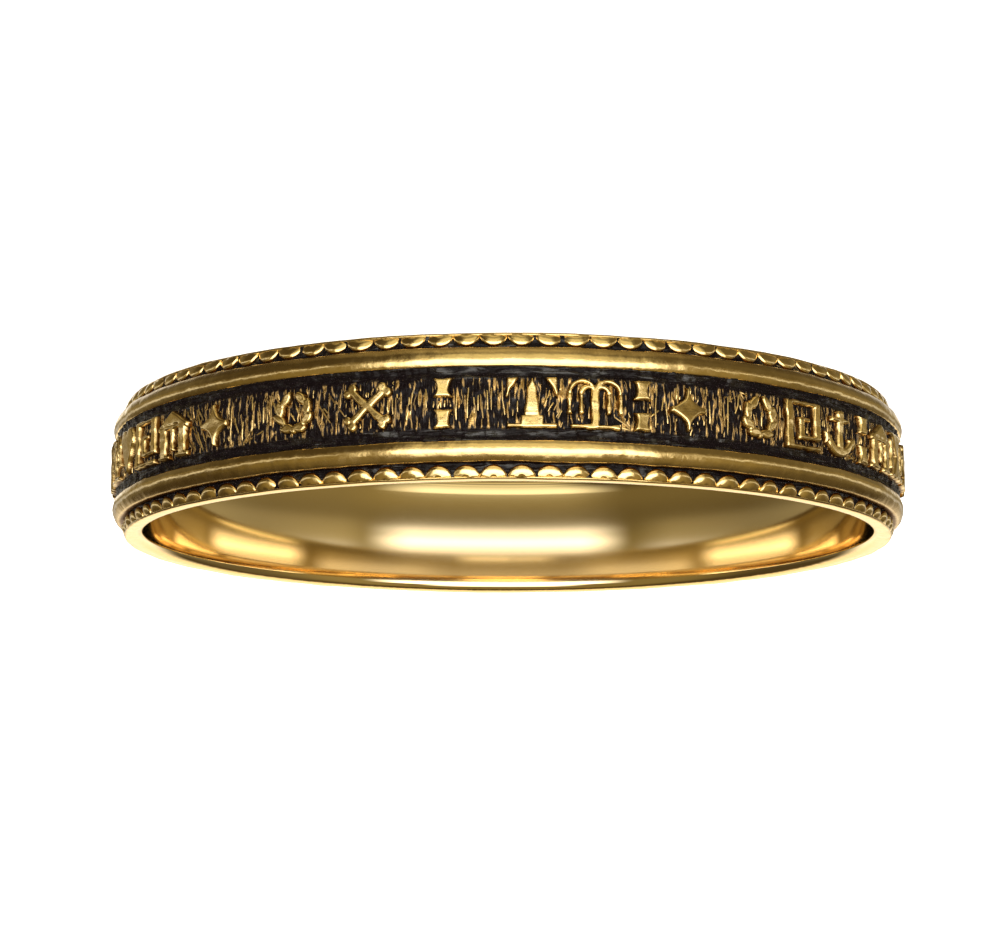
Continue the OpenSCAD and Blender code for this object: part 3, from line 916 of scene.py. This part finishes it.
class RING_OT_enamel(bpy.types.Operator):
    """Fill the band and both milled edges with black enamel"""
    bl_idname = "ring.enamel"
    bl_label = "Enamel"

    def execute(self, context):
        sizes = context.scene.ring_sizes
        bite = 0.01 * MM

        half = sizes.motif_height / 2
        channel = (sizes.rail_inner + half) / 2
        channel_half = (sizes.rail_inner - half) / 2

        def band_surface(angle, v):
            # Beside each rail the enamel has sunk into a shallow channel
            sag = np.maximum(1 - ((np.abs(v) - channel) / channel_half) ** 2, 0)
            lumps = 0.009 * MM * waves(angle, v, 0.4 * MM, 31) + 0.005 * MM * waves(angle, v, 0.16 * MM, 32)
            return CREST_RADIUS - sizes.enamel_drop - 0.035 * MM * sag + lumps

        reach = sizes.rail_inner + bite
        made = enamel_strip("band_enamel", np.linspace(-reach, reach, 46), band_surface,
                            bed_radius(sizes) + FIT_GAP, 1500)
        paint(made, "cut", lambda r, v: (half + 0.02 * MM - np.abs(v)) / (0.05 * MM))
        keep(made, "black_enamel", "enamel_band")
        low, high = sizes.rail_outer - bite, HALF_WIDTH - sizes.rim_line + bite
        for name, side in (("upper_edge_fill", -1), ("lower_edge_fill", 1)):
            def edge_surface(angle, v):
                outward = np.clip((np.abs(v) - low) / (high - low), 0, 1)
                lumps = 0.01 * MM * waves(angle, v, 0.25 * MM, 33 + side)
                return floor_radius(sizes) + sizes.edge_fill * (1 - 0.6 * outward) + lumps

            heights = np.linspace(low, high, 8) if side > 0 else np.linspace(-high, -low, 8)
            made = enamel_strip(name, heights, edge_surface, floor_radius(sizes) - bite, 1000)
            keep(made, "black_enamel", name.replace("fill", "enamel"))
        return {"FINISHED"}


def window(tree, angles, span, low, high, soft_low, soft_high):
    """The soft edges of a window that is 1 between two angles in degrees. Edges outside the span of angles are
    left out, and it is None if the whole window lies outside."""
    if low - soft_low >= span[1] or high + soft_high <= span[0]:
        return None
    edges = []
    for at, soft, start, end in ((low, soft_low, 0.0, 1.0), (high, soft_high, 1.0, 0.0)):
        if at - soft < span[1] and at + soft > span[0]:
            edges.append(add(tree, "ShaderNodeMapRange", {
                "interpolation_type": "SMOOTHSTEP", "From Min": at - soft, "From Max": at + soft,
                "To Min": start, "To Max": end}, {"Value": angles}).outputs[0])
    return edges


def belt_light(tree, azimuth, elevation, belt):
    """The light of the diffusers that reach into a belt of elevations."""
    total = add(tree, "ShaderNodeCombineXYZ").outputs[0]
    for colour, strength, across, upright in DIFFUSERS:
        heights = window(tree, elevation, belt, *upright)
        if heights is None:
            continue
        full = {i: strength * channel for i, channel in enumerate(linear(colour))}
        shade = add(tree, "ShaderNodeCombineXYZ", full).outputs[0]
        for edge in window(tree, azimuth, (-180, 180), *across) + heights:
            shade = add(tree, "ShaderNodeVectorMath", {"operation": "SCALE"}, {0: shade, "Scale": edge}).outputs[0]
        total = add(tree, "ShaderNodeVectorMath", {"operation": "ADD"}, {0: total, 1: shade}).outputs[0]
    return add(tree, "ShaderNodeBackground", {"Strength": 1.0}, {"Color": total}).outputs[0]


def studio_world(scene):
    """Soft light from all round, as a set of large diffusers and dark gaps that the gold mirrors.
    Angles are those of the main picture: to its right of the front, and up in it, which is down in the room."""
    world = bpy.data.worlds.new("studio")
    world.use_nodes = True
    scene.world = world
    tree = world.node_tree
    tree.nodes.clear()
    way = add(tree, "ShaderNodeTexCoord").outputs["Generated"]
    part = add(tree, "ShaderNodeSeparateXYZ", None, {0: way})
    flip = [
        add(tree, "ShaderNodeMath", {"operation": "MULTIPLY", 1: -1.0}, {0: o}).outputs[0] for o in part.outputs]
    right = add(tree, "ShaderNodeMath", {"operation": "ARCTAN2"}, {0: flip[0], 1: flip[1]})
    up = add(tree, "ShaderNodeMath", {"operation": "ARCSINE"}, {0: flip[2]})
    azimuth = add(tree, "ShaderNodeMath", {"operation": "DEGREES"}, {0: right.outputs[0]}).outputs[0]
    elevation = add(tree, "ShaderNodeMath", {"operation": "DEGREES"}, {0: up.outputs[0]}).outputs[0]
    # Each belt holds its own diffusers alone, which makes the renders faster
    light = None
    for low, high in reversed(BELTS):
        belt = belt_light(tree, azimuth, elevation, (low, high))
        if light is None:
            light = belt
        else:
            above = add(tree, "ShaderNodeMath", {"operation": "GREATER_THAN", 1: high}, {0: elevation})
            light = add(tree, "ShaderNodeMixShader", None, {0: above.outputs[0], 1: belt, 2: light}).outputs[0]
    add(tree, "ShaderNodeOutputWorld", None, {"Surface": light})


BELTS = ((-90, 0), (0, 9), (9, 90))         # belts of elevation, in degrees

# Each diffuser: colour, strength, its left and right edge and how soft they are, and the same for its lower and
# upper edge, all in degrees. An edge out of reach, as at 400, isn't drawn.
DIFFUSERS = [
    ("#FFDC96", 0.07, (-400, 400, 1, 1), (-100, 100, 1, 1)),
    ("#FFFCF6", 0.7, (-34, 42, 10, 10), (-24, 9.0, 2, 0.5)),
    ("#FFFCF6", 2.1, (-34, 42, 10, 10), (-24, 4.6, 2, 0.3)),
    ("#FFFCF6", 2.1, (-34, 42, 10, 10), (7.55, 8.3, 0.25, 0.15)),
    ("#FFFCF6", 2.1, (-34, 42, 10, 10), (8.75, 9.0, 0.15, 0.4)),
    ("#FFFCF6", 2.0, (-24, 28, 8, 8), (-46, -24, 4, 2)),
    ("#FFE48C", 0.08, (-30, 50, 12, 12), (10.5, 16, 1.5, 3)),
    ("#FFF8DC", 1.2, (-30, 38, 12, 12), (12.7, 17, 0.5, 3)),
    ("#FFF4C8", 0.5, (-24, 36, 12, 12), (16, 42, 3, 8)),
    ("#FFF4C8", 0.3, (-22, 35, 15, 15), (22, 60, 8, 15)),
    ("#FFE48C", 0.16, (-80, 80, 25, 25), (-95, 9, 12, 2)),
    ("#FFE48C", 0.1, (-400, 400, 1, 1), (10.5, 16, 1.5, 4)),
    ("#FFEAAC", 0.06, (45, 125, 15, 15), (-60, 75, 15, 15)),
    ("#FFEAAC", 0.25, (-400, 400, 1, 1), (62, 120, 12, 1)),
    ("#FFF4C8", 0.4, (-50, 50, 30, 30), (62, 84, 10, 6)),
    ("#FFF4C8", 0.08, (105, 400, 20, 1), (-10, 40, 10, 12)),
    ("#FFFFFF", 0.75, (152, 400, 10, 1), (11, 40, 1.5, 10)),
    ("#FFF4C8", 0.08, (-400, -105, 1, 20), (-10, 40, 10, 12)),
    ("#FFFFFF", 1.0, (-400, -149, 1, 9), (11, 40, 1.5, 10)),
    ("#FFF2D8", 1.2, (150, 400, 14, 1), (-60, 0, 12, 6)),
    ("#FFF2D8", 1.2, (-400, -150, 1, 14), (-60, 0, 12, 6)),
    ("#F6F8FF", 0.72, (55, 128, 10, 18), (1.5, 7.6, 0.6, 0.3)),
    ("#F6F8FF", 0.72, (-128, -50, 18, 10), (1.5, 7.6, 0.6, 0.3)),
    ("#F6F8FF", 0.4, (128, 400, 18, 1), (2.5, 7.2, 0.6, 0.6)),
    ("#F6F8FF", 0.4, (-400, -128, 1, 18), (2.5, 7.2, 0.6, 0.6)),
    ("#FFF0C0", 0.14, (50, 400, 10, 1), (7.6, 9.6, 0.3, 0.4)),
    ("#FFF0C0", 0.14, (-400, -50, 1, 10), (7.6, 9.6, 0.3, 0.4)),
]


class RING_OT_stage(bpy.types.Operator):
    """Set the floor, the light and the camera"""
    bl_idname = "ring.stage"
    bl_label = "Stage"

    def execute(self, context):
        scene = context.scene
        scene.view_settings.view_transform = "Standard"
        studio_world(scene)
        self.floor(scene.ring_finish)
        self.camera(scene)
        return {"FINISHED"}

    def floor(self, finish):
        """A white floor that turns up into a backdrop all round."""
        sides = 64
        outline = [(0.5, 0.0)] + [
            (0.5 + 0.2 * math.sin(math.radians(t)), 0.2 - 0.2 * math.cos(math.radians(t))) for t in range(15, 91, 15)]
        outline.append((0.7, 0.6))
        points = [(0, 0, 0)]
        for radius, height in outline:
            points += [
                (radius * math.cos(math.tau * i / sides), radius * math.sin(math.tau * i / sides), height)
                for i in range(sides)]
        faces = [(0, 1 + i, 1 + (i + 1) % sides) for i in range(sides)]
        for k in range(len(outline) - 1):
            low, high = 1 + k * sides, 1 + (k + 1) * sides
            faces += [(low + i, high + i, high + (i + 1) % sides, low + (i + 1) % sides) for i in range(sides)]
        paper, tree, shader = new_material("white_paper")
        shader.inputs["Base Color"].default_value = (*finish.floor, 1)
        shader.inputs["Roughness"].default_value = 0.9
        shader.inputs["Emission Color"].default_value = (1, 1, 1, 1)
        shader.inputs["Emission Strength"].default_value = 0.75
        paper.cycles.emission_sampling = "NONE"     # its glow is faint and even, and renders faster so
        made = mesh_object("floor", points, faces, paper)
        # The gold mirrors the diffusers and not the paper, as it does in the photo
        made.visible_glossy = False
        made.visible_shadow = False

    def camera(self, scene):
        """The main camera looks a little down on the ring, and is turned over as the picture is."""
        distance = 6.5 * CREST_RADIUS
        elevation = math.radians(9.87)
        focus_px, width_px = 2553.0, 1000.0
        centre_px, height_px = (508.0, 481.0), 947.0
        data = bpy.data.cameras.new("main")
        data.sensor_width = 36
        data.lens = focus_px / width_px * data.sensor_width
        data.shift_x = (width_px / 2 - centre_px[0]) / width_px
        data.shift_y = (centre_px[1] - height_px / 2) / width_px
        data.clip_start, data.clip_end = 1 * MM, 10
        made = bpy.data.objects.new("main", data)
        scene.collection.objects.link(made)
        back = Vector((0, -math.cos(elevation), math.sin(elevation)))
        made.location = Vector((0, 0, HALF_WIDTH)) + back * distance
        upside_down = Matrix.Rotation(math.pi, 4, "Z")
        made.rotation_euler = ((-back).to_track_quat("-Z", "Y").to_matrix().to_4x4() @ upside_down).to_euler()
        scene.camera = made


class RING_PT_panel(bpy.types.Panel):
    """Lists the steps that build the ring"""
    bl_idname = "RING_PT_panel"
    bl_label = "Mourning ring"
    bl_space_type = "VIEW_3D"
    bl_region_type = "UI"
    bl_category = "Mourning ring"

    def draw(self, context):
        for group in (context.scene.ring_sizes, context.scene.ring_finish):
            box = self.layout.box()
            for name in group.__annotations__:
                box.prop(group, name)
        for step in STEPS:
            self.layout.operator(step.bl_idname)


STEPS = (RING_OT_hoop, RING_OT_grains, RING_OT_ornaments, RING_OT_ridges, RING_OT_enamel, RING_OT_stage)
CLASSES = (RingSizes, RingFinish, *STEPS, RING_PT_panel)


def register():
    for c in CLASSES:
        bpy.utils.register_class(c)
    bpy.types.Scene.ring_sizes = bpy.props.PointerProperty(type=RingSizes)
    bpy.types.Scene.ring_finish = bpy.props.PointerProperty(type=RingFinish)


def unregister():
    del bpy.types.Scene.ring_finish
    del bpy.types.Scene.ring_sizes
    for c in reversed(CLASSES):
        bpy.utils.unregister_class(c)


def main():
    register()
    for step in STEPS:
        group, name = step.bl_idname.split(".")
        getattr(getattr(bpy.ops, group), name)()


if __name__ == "__main__":
    main()
